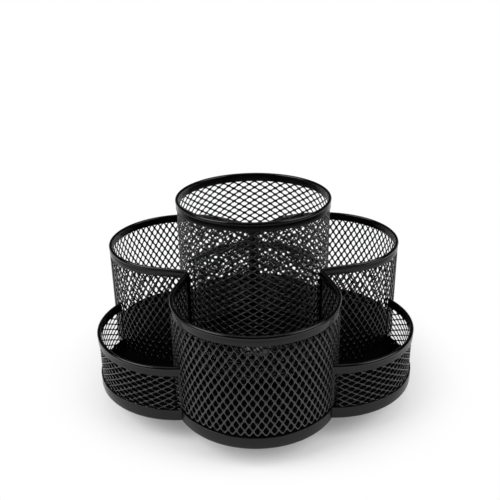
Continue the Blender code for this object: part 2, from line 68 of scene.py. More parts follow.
LAMPS = (
    # name, place, size, watts
    ("lamp_above", (0.0, 0.20, 1.2), 1.2, 3.2),
    ("lamp_left", (-0.86, -0.26, 0.80), 0.9, 10.2),
    ("lamp_right", (0.89, -0.25, 0.78), 0.9, 7.2),
)
VIEW_ANGLE = 0.405
VIEW_ROLL = 0.016
VIEW_DISTANCE = 0.3847
VIEW_TARGET = (-0.0022, 0.0, 0.0745)
VIEW_LENS = 49.80
VIEW_SENSOR = 36.0
VIEW_CLIP = (0.01, 50.0)


def eased_step(nodes, links, value, ends):
    """0 where the value is at the first end and 1 at the second, with a smooth step between."""
    step = nodes.new("ShaderNodeMapRange")
    step.interpolation_type = "SMOOTHSTEP"
    step.inputs["From Min"].default_value = ends[0]
    step.inputs["From Max"].default_value = ends[1]
    links.new(value, step.inputs["Value"])
    return step.outputs["Result"]


def together(nodes, links, operation, first, second):
    """Two values from 0 to 1 put together by a math operation, with the result kept from 0 to 1."""
    step = nodes.new("ShaderNodeMath")
    step.operation = operation
    step.use_clamp = True
    links.new(first, step.inputs[0])
    links.new(second, step.inputs[1])
    return step.outputs["Value"]


def seen_directly(nodes, links, in_gloss):
    """1 for rays that show the background, straight or in glass, in_gloss in gloss, and 0 for light."""
    ray = nodes.new("ShaderNodeLightPath").outputs
    gloss = together(nodes, links, "MULTIPLY", ray["Is Glossy Ray"], in_gloss)
    straight = together(nodes, links, "MAXIMUM", ray["Is Camera Ray"], gloss)
    return together(nodes, links, "MAXIMUM", straight, ray["Is Transmission Ray"])


def glow_over(nodes, links, under, share, strength):
    """A shader that gives way to an even white glow as the share goes from 0 to 1."""
    glow = nodes.new("ShaderNodeEmission")
    glow.inputs["Strength"].default_value = strength
    mix = nodes.new("ShaderNodeMixShader")
    links.new(share, mix.inputs["Fac"])
    links.new(under, mix.inputs[1])
    links.new(glow.outputs["Emission"], mix.inputs[2])
    return mix.outputs["Shader"]


def table_white():
    """Lit white near the object, where its shadow falls, fading to plain white further out.

    Gloss sees the white behind the object, and on the camera's side the lit colour, which goes dark
    with the studio there.
    """
    material = bpy.data.materials.new("table_white")
    material.use_nodes = True
    nodes = material.node_tree.nodes
    links = material.node_tree.links
    place = nodes.new("ShaderNodeTexCoord").outputs["Object"]
    parts = nodes.new("ShaderNodeSeparateXYZ")
    links.new(place, parts.inputs["Vector"])
    length = nodes.new("ShaderNodeVectorMath")
    length.operation = "LENGTH"
    links.new(place, length.inputs[0])
    distance = length.outputs["Value"]
    glossy = nodes.new("ShaderNodeLightPath").outputs["Is Glossy Ray"]
    behind = eased_step(nodes, links, parts.outputs["Y"], TABLE_BACK)
    direct = seen_directly(nodes, links, behind)
    shader = nodes["Principled BSDF"]
    shader.inputs["Base Color"].default_value = TABLE_COLOR
    shader.inputs["Roughness"].default_value = TABLE_ROUGH
    shader.inputs["Specular IOR Level"].default_value = TABLE_GLOSS
    shader.inputs["Emission Color"].default_value = TABLE_LIFT
    links.new(direct, shader.inputs["Emission Strength"])
    fade = nodes.new("ShaderNodeMix")
    fade.data_type = "FLOAT"
    links.new(glossy, fade.inputs[0])
    links.new(eased_step(nodes, links, distance, TABLE_FADE), fade.inputs[2])
    links.new(eased_step(nodes, links, distance, GLOSS_FADE), fade.inputs[3])
    white_share = together(nodes, links, "MULTIPLY", fade.outputs[0], direct)
    surface = glow_over(nodes, links, shader.outputs["BSDF"], white_share, WHITE_ROOM)
    in_front = together(nodes, links, "SUBTRACT", glossy, behind)
    reach = eased_step(nodes, links, distance, TABLE_REACH)
    dark_share = together(nodes, links, "MULTIPLY", in_front, reach)
    surface = glow_over(nodes, links, surface, dark_share, DARK_ROOM)
    links.new(surface, nodes["Material Output"].inputs["Surface"])
    return material


def make_table_top():
    """A level square at the height of the desk, far wider than the view."""
    half = TABLE_HALF
    corners = [(-half, -half, 0), (half, -half, 0), (half, half, 0), (-half, half, 0)]
    mesh = bpy.data.meshes.new("table_top")
    mesh.from_pydata(corners, [], [(0, 1, 2, 3)])
    mesh.materials.append(table_white())
    table_top = bpy.data.objects.new("table_top", mesh)
    bpy.context.scene.collection.objects.link(table_top)


def light_room():
    """A soft fill from all round, dark in gloss but for a low white sweep behind, and the lamps."""
    world = bpy.data.worlds.new("white_room")
    bpy.context.scene.world = world
    world.use_nodes = True
    nodes = world.node_tree.nodes
    links = world.node_tree.links
    background = nodes["Background"]
    background.inputs["Color"].default_value = WHITE
    direction = nodes.new("ShaderNodeTexCoord")
    parts = nodes.new("ShaderNodeSeparateXYZ")
    links.new(direction.outputs["Generated"], parts.inputs["Vector"])
    side = eased_step(nodes, links, parts.outputs["Y"], SWEEP_SIDE)
    top = eased_step(nodes, links, parts.outputs["Z"], SWEEP_TOP)
    sweep = together(nodes, links, "MULTIPLY", side, top)
    ray = nodes.new("ShaderNodeLightPath")
    fill = nodes.new("ShaderNodeMath")
    fill.operation = "MULTIPLY_ADD"
    fill.inputs[1].default_value = ROOM_LIGHT - DARK_ROOM
    fill.inputs[2].default_value = DARK_ROOM
    links.new(ray.outputs["Is Diffuse Ray"], fill.inputs[0])
    level = together(nodes, links, "MAXIMUM", seen_directly(nodes, links, sweep), fill.outputs["Value"])
    links.new(level, background.inputs["Strength"])
    for name, place, size, watts in LAMPS:
        lamp = bpy.data.lights.new(name, "AREA")
        lamp.shape = "DISK"
        lamp.size = size
        lamp.energy = watts
        holder = bpy.data.objects.new(name, lamp)
        holder.location = place
        holder.rotation_euler = (-Vector(place)).to_track_quat("-Z", "Y").to_euler()
        bpy.context.scene.collection.objects.link(holder)


def place_camera():
    """Looks along (0, cos, -sin) of the view angle, then rolls about that line."""
    forward = Vector((0.0, math.cos(VIEW_ANGLE), -math.sin(VIEW_ANGLE)))
    level = Vector((1.0, 0.0, 0.0))
    upright = level.cross(forward)
    right = math.cos(VIEW_ROLL) * level - math.sin(VIEW_ROLL) * upright
    up = math.cos(VIEW_ROLL) * upright + math.sin(VIEW_ROLL) * level
    data = bpy.data.cameras.new("camera")
    data.lens = VIEW_LENS
    data.sensor_width = VIEW_SENSOR
    data.clip_start, data.clip_end = VIEW_CLIP
    camera = bpy.data.objects.new("camera", data)
    place = Matrix((right, up, -forward)).transposed().to_4x4()
    place.translation = Vector(VIEW_TARGET) - VIEW_DISTANCE * forward
    camera.matrix_world = place
    bpy.context.scene.collection.objects.link(camera)
    bpy.context.scene.camera = camera


make_table_top()
light_room()
place_camera()
bpy.context.scene.view_settings.view_transform = "Standard"

# Base: a pressed steel disc with its edge turned down, painted black, on four moulded rubber feet that
# are pushed through it from below.
PAINT_TONE = (0.0018, 0.0018, 0.0019)
PAINT_GLOSS = 0.34
PAINT_ROUGH = (0.11, 0.17)
PAINT_MOTTLE = (90.0, 0.25)
PAINT_RELIEF = (2600.0, 0.000008)
RUBBER_TONE = (0.018, 0.018, 0.018)
RUBBER_GLOSS = 0.3
RUBBER_ROUGH = (0.70, 0.85)
RUBBER_MOTTLE = (120.0, 0.2)
RUBBER_RELIEF = (1800.0, 0.00002)
NOISE_RANGE = (0.3, 0.7)
COLOR_DETAIL = 3.0
GLOSS_DETAIL = 4.0
GLOSS_FINENESS = 2.3
RELIEF_DETAIL = 2.0
ROUND_STEPS = 192
SMALL_STEPS = 48
EASE_STEPS = 5
MERGE = 0.0000005
CREASE = math.radians(38)
EDGE_EASE = 0.0003
BASE_RADIUS = 0.0500
BASE_SHEET = 0.0010
BASE_LOW = 0.0021
BASE_HIGH = 0.0031
BASE_EDGE_LOW = 0.0009
BASE_BEND = 0.0009
BASE_HOLE = 0.0032
FOOT_COUNT = 4
FOOT_RADIUS = 0.0060
FOOT_TIP_SHARE = 0.93
FOOT_TIP_EASE = 0.0005


def grain(nodes, links, scale, detail, low, high):
    """Noise in the piece's own coordinates, spread between two numbers."""
    place = nodes.new("ShaderNodeTexCoord")
    noise = nodes.new("ShaderNodeTexNoise")
    noise.inputs["Scale"].default_value = scale
    noise.inputs["Detail"].default_value = detail
    links.new(place.outputs["Object"], noise.inputs["Vector"])
    spread = nodes.new("ShaderNodeMapRange")
    spread.inputs["From Min"].default_value = NOISE_RANGE[0]
    spread.inputs["From Max"].default_value = NOISE_RANGE[1]
    spread.inputs["To Min"].default_value = low
    spread.inputs["To Max"].default_value = high
    links.new(noise.outputs["Fac"], spread.inputs["Value"])
    return spread.outputs["Result"]


def finish_of(name, tone, gloss, rough, mottle, relief, metal=False):
    """A finish with mottled colour, patchy gloss and a fine relief.

    gloss is how much it mirrors, rough the lowest and highest roughness, mottle the noise scale and the
    spread of the colour, and relief the noise scale and the height in metres.
    """
    material = bpy.data.materials.new(name)
    material.use_nodes = True
    nodes = material.node_tree.nodes
    links = material.node_tree.links
    shader = nodes["Principled BSDF"]
    shader.inputs["Metallic"].default_value = 1.0 if metal else 0.0
    shader.inputs["Specular IOR Level"].default_value = gloss
    color = nodes.new("ShaderNodeVectorMath")
    color.operation = "SCALE"
    color.inputs[0].default_value = tone
    share = grain(nodes, links, mottle[0], COLOR_DETAIL, 1.0 - mottle[1], 1.0 + mottle[1])
    links.new(share, color.inputs["Scale"])
    links.new(color.outputs["Vector"], shader.inputs["Base Color"])
    patches = grain(nodes, links, mottle[0] * GLOSS_FINENESS, GLOSS_DETAIL, rough[0], rough[1])
    links.new(patches, shader.inputs["Roughness"])
    bump = nodes.new("ShaderNodeBump")
    bump.inputs["Distance"].default_value = relief[1]
    links.new(grain(nodes, links, relief[0], RELIEF_DETAIL, 0.0, 1.0), bump.inputs["Height"])
    links.new(bump.outputs["Normal"], shader.inputs["Normal"])
    return material


def eased(corners):
    """Outline through corners (x, y, ease): each corner becomes a circular arc, ease long on both sides.

    The arc is the rational curve of its two ends and the corner, whose middle weight is the sine of half
    the angle between the sides. Points that fall together are left out.
    """
    corners = np.array(corners, dtype=float)
    point = corners[:, :2]
    before = np.roll(point, 1, axis=0) - point
    after = np.roll(point, -1, axis=0) - point
    before /= np.linalg.norm(before, axis=1, keepdims=True)
    after /= np.linalg.norm(after, axis=1, keepdims=True)
    weight = np.sqrt((1 - np.sum(before * after, axis=1)) / 2)[:, None, None]
    ease = corners[:, 2:]
    first = (point + before * ease)[:, None, :]
    last = (point + after * ease)[:, None, :]
    share = np.linspace(0.0, 1.0, EASE_STEPS)[None, :, None]
    ends = first * (1 - share) ** 2 + last * share**2
    middle = 2 * weight * share * (1 - share)
    curve = (ends + middle * point[:, None, :]) / ((1 - share) ** 2 + share**2 + middle)
    curve = curve.reshape(-1, 2)
    apart = np.linalg.norm(curve - np.roll(curve, 1, axis=0), axis=1) > MERGE
    return curve[apart]


def grid_faces(rows, columns, columns_close):
    """Faces of a grid whose rows close, with point number row * columns + column."""
    row = np.arange(rows)[:, None]
    column = np.arange(columns if columns_close else columns - 1)[None, :]
    right = (column + 1) % columns
    above = (row + 1) % rows
    corners = [row * columns + column, row * columns + right]
    corners += [above * columns + right, above * columns + column]
    return np.stack(corners, axis=-1).reshape(-1, 4).tolist()


def new_piece(name, points, faces, material, body, nodes, crease=CREASE):
    """A mesh with its coinciding points joined, which rides on a body and replaces CAD nodes."""
    mesh = bpy.data.meshes.new(name)
    mesh.from_pydata(points.reshape(-1, 3), [], faces)
    shape = bmesh.new()
    shape.from_mesh(mesh)
    bmesh.ops.remove_doubles(shape, verts=shape.verts, dist=MERGE)
    shape.to_mesh(mesh)
    shape.free()
    mesh.materials.append(material)
    mesh.shade_smooth()
    mesh.set_sharp_from_angle(angle=crease)
    piece = bpy.data.objects.new(name, mesh)
    bpy.context.scene.collection.objects.link(piece)
    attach(piece, body)
    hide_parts(*nodes)
    return piece


def turned(name, outline, material, body, nodes, spot=(0.0, 0.0), steps=ROUND_STEPS):
    """A closed outline of (radius, height), up on its outer side, carried round a vertical axis."""
    angle = np.linspace(0.0, 2 * np.pi, steps, endpoint=False)[None, :]
    radius = outline[:, :1]
    height = np.broadcast_to(outline[:, 1:], (len(outline), steps))
    x = spot[0] + radius * np.cos(angle)
    y = spot[1] + radius * np.sin(angle)
    points = np.stack([x, y, height], axis=-1)
    return new_piece(name, points, grid_faces(len(outline), steps, True), material, body, nodes)


def middle_of(node):
    """Middle of a CAD node's box, seen from above."""
    low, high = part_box(node)
    return ((low[0] + high[0]) / 2, (low[1] + high[1]) / 2)


black_paint = finish_of(
    "black_powder_coat", PAINT_TONE, PAINT_GLOSS, PAINT_ROUGH, PAINT_MOTTLE, PAINT_RELIEF
)
rubber = finish_of("black_rubber", RUBBER_TONE, RUBBER_GLOSS, RUBBER_ROUGH, RUBBER_MOTTLE, RUBBER_RELIEF)
foot_outline = eased(
    [
        (0.0, 0.0, 0.0),
        (FOOT_RADIUS * FOOT_TIP_SHARE, 0.0, FOOT_TIP_EASE),
        (FOOT_RADIUS, BASE_LOW, EDGE_EASE),
        (0.0, BASE_LOW, 0.0),
    ]
)
for number in range(1, FOOT_COUNT + 1):
    foot = "foot_%d" % number
    turned("rubber_" + foot, foot_outline, rubber, "base", [foot], middle_of(foot), SMALL_STEPS)
base_outline = eased(
    [
        (BASE_HOLE, BASE_LOW, 0.0),
        (BASE_RADIUS - BASE_SHEET, BASE_LOW, EDGE_EASE),
        (BASE_RADIUS - BASE_SHEET, BASE_EDGE_LOW, EDGE_EASE),
        (BASE_RADIUS, BASE_EDGE_LOW, EDGE_EASE),
        (BASE_RADIUS, BASE_HIGH, BASE_BEND),
        (BASE_HOLE, BASE_HIGH, 0.0),
    ]
)
turned("pressed_base", base_outline, black_paint, "base", ["base_plate"])

# Turntable: two zinc-plated pressed races with steel balls in a plastic cage between them. The upper race
# is spot-welded to the upper plate, and a headed rivet with a washer holds the plates together.
METAL_GLOSS = 0.5
ZINC_TONE = (0.42, 0.43, 0.44)
ZINC_ROUGH = (0.34, 0.48)
ZINC_MOTTLE = (140.0, 0.08)
ZINC_RELIEF = (900.0, 0.000006)
BALL_COUNT = 8
BALL_TONE = (0.62, 0.62, 0.63)
BALL_ROUGH = (0.08, 0.14)
BALL_MOTTLE = (300.0, 0.03)
BALL_RELIEF = (900.0, 0.000001)
CAGE_TONE = (0.70, 0.69, 0.65)
CAGE_GLOSS = 0.4
CAGE_ROUGH = (0.45, 0.55)
CAGE_MOTTLE = (100.0, 0.05)
CAGE_RELIEF = (1500.0, 0.00001)
PLATE_LOW = 0.0098
PLATE_HIGH = 0.0109
PLATE_RADIUS = 0.0400
PLATE_BEND = 0.0005
PIVOT_STEPS = 96
PIVOT_RADIUS = 0.0030
PIVOT_CLEARANCE = 0.0003
PIVOT_HEAD = 0.0055
PIVOT_FOOT_LOW = 0.0011
PIVOT_FOOT_HIGH = 0.0019
PIVOT_HEAD_LOW = 0.0119
PIVOT_HEAD_HIGH = 0.0133
PIVOT_CROWN_SHARE = 0.7
PIVOT_CROWN_DROP = 0.0004
PIVOT_CROWN_EASE = 0.0010
WASHER_RADIUS = 0.0075
WASHER_LOW = 0.0110
WASHER_HIGH = 0.0118
WASHER_EASE = 0.0002

zinc = finish_of("zinc_plate", ZINC_TONE, METAL_GLOSS, ZINC_ROUGH, ZINC_MOTTLE, ZINC_RELIEF, metal=True)
bright_steel = finish_of(
    "ball_steel", BALL_TONE, METAL_GLOSS, BALL_ROUGH, BALL_MOTTLE, BALL_RELIEF, metal=True
)
plastic = finish_of("cage_plastic", CAGE_TONE, CAGE_GLOSS, CAGE_ROUGH, CAGE_MOTTLE, CAGE_RELIEF)
bearing = {"lower_race": zinc, "upper_race": zinc, "ball_cage": plastic}
bearing.update({"ball_%d" % number: bright_steel for number in range(1, BALL_COUNT + 1)})
for node, material in bearing.items():
    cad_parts[node].data.materials.clear()
    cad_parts[node].data.materials.append(material)
plate_outline = eased(
    [
        (PIVOT_RADIUS + PIVOT_CLEARANCE, PLATE_LOW, 0.0),
        (PLATE_RADIUS, PLATE_LOW, EDGE_EASE),
        (PLATE_RADIUS, PLATE_HIGH, PLATE_BEND),
        (PIVOT_RADIUS + PIVOT_CLEARANCE, PLATE_HIGH, 0.0),
    ]
)
turned("turntable_plate", plate_outline, zinc, "organizer", ["upper_plate"])
pivot_outline = eased(
    [
        (0.0, PIVOT_FOOT_LOW, 0.0),
        (PIVOT_HEAD, PIVOT_FOOT_LOW, EDGE_EASE),
        (PIVOT_HEAD, PIVOT_FOOT_HIGH, 0.0),
        (PIVOT_RADIUS, PIVOT_FOOT_HIGH, 0.0),
        (PIVOT_RADIUS, PIVOT_HEAD_LOW, 0.0),
        (PIVOT_HEAD, PIVOT_HEAD_LOW, EDGE_EASE),
        (PIVOT_HEAD, PIVOT_HEAD_HIGH - PIVOT_CROWN_DROP, EDGE_EASE),
        (PIVOT_HEAD * PIVOT_CROWN_SHARE, PIVOT_HEAD_HIGH, PIVOT_CROWN_EASE),
        (0.0, PIVOT_HEAD_HIGH, 0.0),
    ]
)
turned("pivot_rivet", pivot_outline, zinc, "base", ["centre_rivet"], steps=PIVOT_STEPS)
washer_outline = eased(
    [
        (PIVOT_RADIUS + PIVOT_CLEARANCE, WASHER_LOW, 0.0),
        (WASHER_RADIUS, WASHER_LOW, WASHER_EASE),
        (WASHER_RADIUS, WASHER_HIGH, WASHER_EASE),
        (PIVOT_RADIUS + PIVOT_CLEARANCE, WASHER_HIGH, 0.0),
    ]
)
turned("pivot_ring", washer_outline, zinc, "base", ["pivot_washer"], steps=PIVOT_STEPS)

# Tray: floor and lip pressed from one flower-shaped sheet of steel in black powder coat. The floor gets a
# copy of the paint that barely mirrors, as painted shade that keeps the cup floors dark. It lies on the
# upper plate and is held by four rivets.
CUP_REACH = 0.0913693
MIDDLE_RADIUS = 0.0424
MIDDLE_DISTANCE = CUP_REACH - MIDDLE_RADIUS
LOW_RADIUS = 0.0457
LOW_DISTANCE = CUP_REACH - LOW_RADIUS
CUP_SPACING = math.radians(60)
MIDDLE_CUPS = {"front_cup": -90, "right_cup": 30, "left_cup": 150}
LOW_CUPS = {"low_right_cup": -30, "low_rear_cup": 90, "low_left_cup": 210}
TRAY_LOW = 0.0111
TRAY_FLOOR_HIGH = 0.0117
LIP_HIGH = 0.0178
LIP_SHEET = 0.0005
LIP_EASE = 0.45 * LIP_SHEET
TRAY_BEND = 0.0012
FLOOR_INSET = 0.0024
FLOOR_ROWS = 4
TRAY_HOLE = 0.0095
TRAY_STEPS = 56
# Gloss and roughness of the floor's copy of the paint, dulled as painted shade on the cup floors.
FLOOR_SHADE_GLOSS = 0.02
FLOOR_SHADE_ROUGH = (0.40, 0.50)
FACING_UP = 0.9
RIVET_COUNT = 4
RIVET_SHANK = 0.0016
RIVET_HEAD = 0.0031
RIVET_FOOT_SHARE = 0.80
RIVET_FOOT_DEPTH = 0.0006
RIVET_FOOT_EASE = 0.0004
RIVET_SHOULDER_SHARE = 0.92
RIVET_SHOULDER_HEIGHT = 0.0008
RIVET_SHOULDER_EASE = 0.0005
RIVET_CROWN_SHARE = 0.55
RIVET_CROWN_HEIGHT = 0.0012
RIVET_CROWN_EASE = 0.0008


def crossing(own_distance, own_radius, other_distance, other_radius):
    """Direction, from its own centre, in which a circle meets its neighbour's, 60 degrees round the axis.

    It is the direction to the neighbour's centre less the angle that the law of cosines gives.
    """
    across = other_distance * math.cos(CUP_SPACING) - own_distance
    along = other_distance * math.sin(CUP_SPACING)
    between = math.hypot(across, along)
    share = (between**2 + own_radius**2 - other_radius**2) / (2 * between * own_radius)
    return np.arctan2(along, across) - np.arccos(share)


def rotated(points, angle):
    """Points of (x, y) turned about the spin axis."""
    x = points[..., 0] * np.cos(angle) - points[..., 1] * np.sin(angle)
    y = points[..., 0] * np.sin(angle) + points[..., 1] * np.cos(angle)
    return np.stack([x, y], axis=-1)


def flower(inset):
    """Rows of the tray's outline, one for each inset: six arcs, each from one crossing to the next."""
    middle = MIDDLE_RADIUS - inset
    low = LOW_RADIUS - inset
    share = np.linspace(-1.0, 1.0, TRAY_STEPS, endpoint=False)[None, :]
    middle_angle = crossing(MIDDLE_DISTANCE, middle, LOW_DISTANCE, low)[:, None] * share
    low_angle = crossing(LOW_DISTANCE, low, MIDDLE_DISTANCE, middle)[:, None] * share
    middle_arc = middle[:, None, None] * np.stack([np.cos(middle_angle), np.sin(middle_angle)], axis=-1)
    low_arc = low[:, None, None] * np.stack([np.cos(low_angle), np.sin(low_angle)], axis=-1)
    middle_arc[..., 0] += MIDDLE_DISTANCE
    low_arc[..., 0] += LOW_DISTANCE
    arcs = []
    for middle_side, low_side in zip(MIDDLE_CUPS.values(), LOW_CUPS.values()):
        arcs += [rotated(middle_arc, math.radians(middle_side)), rotated(low_arc, math.radians(low_side))]
    return np.concatenate(arcs, axis=1)


def tray_points():
    """The tray's section, an inset and a height, carried round the flower, with its floor run in to a hole.

    Between the bend and the hole a row is a straight blend of the flower and a circle.
    """
    section = eased(
        [
            (FLOOR_INSET, TRAY_LOW, 0.0),
            (0.0, TRAY_LOW, TRAY_BEND),
            (0.0, LIP_HIGH, LIP_EASE),
            (LIP_SHEET, LIP_HIGH, LIP_EASE),
            (LIP_SHEET, TRAY_FLOOR_HIGH, TRAY_BEND - LIP_SHEET),
            (FLOOR_INSET, TRAY_FLOOR_HIGH, 0.0),
        ]
    )
    plan = flower(section[:, 0])
    edge = flower(np.array([FLOOR_INSET]))
    direction = edge / np.linalg.norm(edge, axis=-1, keepdims=True)
    share = np.linspace(1 / FLOOR_ROWS, 1.0, FLOOR_ROWS)[:, None, None]
    run = edge * (1 - share) + direction * TRAY_HOLE * share
    plan = np.concatenate([plan, run, run[::-1]], axis=0)
    floor = np.repeat([TRAY_FLOOR_HIGH, TRAY_LOW], FLOOR_ROWS)
    height = np.concatenate([section[:, 1], floor])
    height = np.broadcast_to(height[:, None, None], (*plan.shape[:2], 1))
    return np.concatenate([plan, height], axis=-1)


points = tray_points()
faces = grid_faces(points.shape[0], points.shape[1], True)
tray = new_piece("pressed_tray", points, faces, black_paint, "organizer", ["base_tray"])
# Painted shade: a copy of the black paint with almost no gloss, so the floors inside the cups stay dark.
floor_shade_paint = finish_of(
    "floor_shade_powder_coat", PAINT_TONE, FLOOR_SHADE_GLOSS, FLOOR_SHADE_ROUGH, PAINT_MOTTLE, PAINT_RELIEF
)
tray.data.materials.append(floor_shade_paint)
# The upward faces low in the tray, the floor, take the painted-shade copy of the paint.
face_normal = np.zeros(len(tray.data.polygons) * 3)
face_center = np.zeros(len(tray.data.polygons) * 3)
tray.data.polygons.foreach_get("normal", face_normal)
tray.data.polygons.foreach_get("center", face_center)
floor_face = (face_normal[2::3] > FACING_UP) & (face_center[2::3] < TRAY_FLOOR_HIGH + TRAY_BEND / 2)
tray.data.polygons.foreach_set("material_index", floor_face.astype(np.int32))
rivet_outline = eased(
    [
        (0.0, PLATE_LOW - RIVET_FOOT_DEPTH, 0.0),
        (RIVET_HEAD * RIVET_FOOT_SHARE, PLATE_LOW - RIVET_FOOT_DEPTH, RIVET_FOOT_EASE),
        (RIVET_HEAD, PLATE_LOW, 0.0),
        (RIVET_SHANK, PLATE_LOW, 0.0),
        (RIVET_SHANK, TRAY_FLOOR_HIGH, 0.0),
        (RIVET_HEAD, TRAY_FLOOR_HIGH, 0.0),
        (RIVET_HEAD * RIVET_SHOULDER_SHARE, TRAY_FLOOR_HIGH + RIVET_SHOULDER_HEIGHT, RIVET_SHOULDER_EASE),
        (RIVET_HEAD * RIVET_CROWN_SHARE, TRAY_FLOOR_HIGH + RIVET_CROWN_HEIGHT, RIVET_CROWN_EASE),
        (0.0, TRAY_FLOOR_HIGH + RIVET_CROWN_HEIGHT, 0.0),
    ]
)
for number in range(1, RIVET_COUNT + 1):
    rivet = "tray_rivet_%d" % number
    turned(
        "domed_" + rivet, rivet_outline, black_paint, "organizer", [rivet], middle_of(rivet),
        SMALL_STEPS,
    )

# Tall cup: a tube of expanded steel with its diamonds lying, a rolled rim pressed over its upper edge and
# a channel ring over its lower edge, all black powder coat. The ring is welded to the tray.
TALL_RADIUS = 0.0420
MESH_INSET = 0.00095
TALL_RIM_HIGH = 0.1066
WALL_LOW = 0.0121
RIM_HEIGHT = 0.0049
RIM_WIDTH = 0.0019
RIM_SKIN = 0.0004
SKIN_EASE = 0.49 * RIM_SKIN
BAND_INSET = 0.0002
BEAD_STEPS = 17
FOOT_RING_HIGH = 0.0165
TALL_HOLES = (41, 46)
TALL_MESH_TURN = 0.0112
TALL_STRAND = (0.00075, 0.00045)
TALL_LEAN = (0.0, 0.00015)
HOLE_SIDES = 12
STRAND_SECTION = ((0.0, 1.0), (0.50, 0.85), (1.0, -0.35), (0.62, -1.0), (0.0, -1.0))
TIP_SHARPNESS = 1.35
MESH_CREASE = math.pi
MESH_GLOSS = 0.85
MESH_MOTTLE = (200.0, 0.25)
MESH_RELIEF = (2600.0, 0.000004)


def expanded_steel(length, height, counts, strand, lean, closed):
    """Expanded steel laid flat: points (along, up, out) and faces.

    The holes stand in a lattice of diamonds, every other row half a diamond along. The edge of a hole is
    its diamond drawn in: |x/a|^p + |y/b|^p = 1, a and b set so that the strands get their width. Rings of
    faces run from the diamond in front, through the edge of the hole, to the diamond behind. Each ring of
    STRAND_SECTION is drawn in by a share of the way and stands out by a share of half the thickness. The
    edge of the hole leans out on one side and in on the other.
    """
    columns, rows = counts
    width = length / columns
    rise = height / (rows + 1)
    row, column = np.meshgrid(np.arange(rows), np.arange(columns), indexing="ij")
    odd = row % 2
    along = (column + 0.5 + 0.5 * odd) * width
    up = (row + 1) * rise
    keep = np.ones(row.shape, bool) if closed else (odd == 0) | (column < columns - 1)
    center = np.stack([along[keep], up[keep]], axis=-1)
    if not closed:
        center[:, 0] -= length / 2

    turn = np.arange(HOLE_SIDES) * 4 / HOLE_SIDES
    corners = np.array([(1, 0), (0, 1), (-1, 0), (0, -1), (1, 0)], float)
    part = (turn % 1)[:, None]
    side = turn.astype(int)
    diamond = corners[side] * (1 - part) + corners[side + 1] * part
    half = np.array([width / 2, rise])
    reach = half[0] * half[1] / np.hypot(half[0], half[1])
    power = TIP_SHARPNESS
    scale = (1 - strand[0] / 2 / reach) / 2 ** (1 - 1 / power)
    drawn = diamond * scale / np.sum(np.abs(diamond) ** power, axis=1, keepdims=True) ** (1 / power)

    outer = center[:, None, :] + diamond * half
    inner = center[:, None, :] + drawn * half
    key = np.round(outer / half * HOLE_SIDES).astype(np.int64)
    if closed:
        key[..., 0] %= 2 * columns * HOLE_SIDES
    _, which, seen = np.unique(key.reshape(-1, 2), axis=0, return_inverse=True, return_counts=True)
    shared = seen[which.reshape(-1)].reshape(key.shape[:2])
    wanted = np.where(turn % 1 == 0, 4, 2)
    ridge = np.where(shared == wanted, strand[1] / 2, 0.0)[..., None]
    slant = -(drawn @ np.array(lean))[None, :, None]
    section = np.array(STRAND_SECTION)[None, :, :, None, None]
    flat = outer[:, None] + (inner - outer)[:, None] * section[:, :, 0]
    out = ridge[:, None] * section[:, :, 1] + slant[:, None] * section[:, :, 0]
    points = np.concatenate([flat, out], axis=-1)

    rings = np.arange(len(STRAND_SECTION) - 1)[None, :, None]
    number = (np.arange(len(center))[:, None, None] * len(STRAND_SECTION) + rings) * HOLE_SIDES
    first = number + np.arange(HOLE_SIDES)
    second = number + (np.arange(HOLE_SIDES) + 1) % HOLE_SIDES
    faces = np.stack([first, second, second + HOLE_SIDES, first + HOLE_SIDES], axis=-1)
    return points.reshape(-1, 3), faces.reshape(-1, 4).tolist()


def wall_height(rim_high):
    """Height of a mesh wall, which ends in the middle of its rim's bead."""
    return rim_high - RIM_WIDTH / 2 - WALL_LOW


def rim_outline(high):
    """Section of a rolled rim as (inset, height): a skin on each side of the mesh under a round bead.

    The bead is an arc of a circle as wide as the rim, which the two skins meet a little inwards.
    """
    band_low = high - RIM_HEIGHT
    bead = RIM_WIDTH / 2
    bend = math.acos(1 - BAND_INSET / bead)
    turn = np.linspace(-bend, math.pi + bend, BEAD_STEPS)
    top = np.stack([bead - bead * np.cos(turn), high - bead + bead * np.sin(turn)], axis=-1)
    inner = RIM_WIDTH - BAND_INSET
    skirt = eased(
        [
            (inner, high - 2 * bead, 0.0),
            (inner, band_low, SKIN_EASE),
            (inner - RIM_SKIN, band_low, SKIN_EASE),
            (inner - RIM_SKIN, high - bead, 0.0),
            (BAND_INSET + RIM_SKIN, high - bead, 0.0),
            (BAND_INSET + RIM_SKIN, band_low, SKIN_EASE),
            (BAND_INSET, band_low, SKIN_EASE),
            (BAND_INSET, high - 2 * bead, 0.0),
        ]
    )
    return np.concatenate([top, skirt], axis=0)


def around_axis(points, radius):
    """Flat sheet points (along, up, out) rolled into a tube about the spin axis."""
    angle = points[:, 0] / radius
    distance = radius + points[:, 2]
    return np.stack([distance * np.cos(angle), distance * np.sin(angle), points[:, 1]], axis=-1)


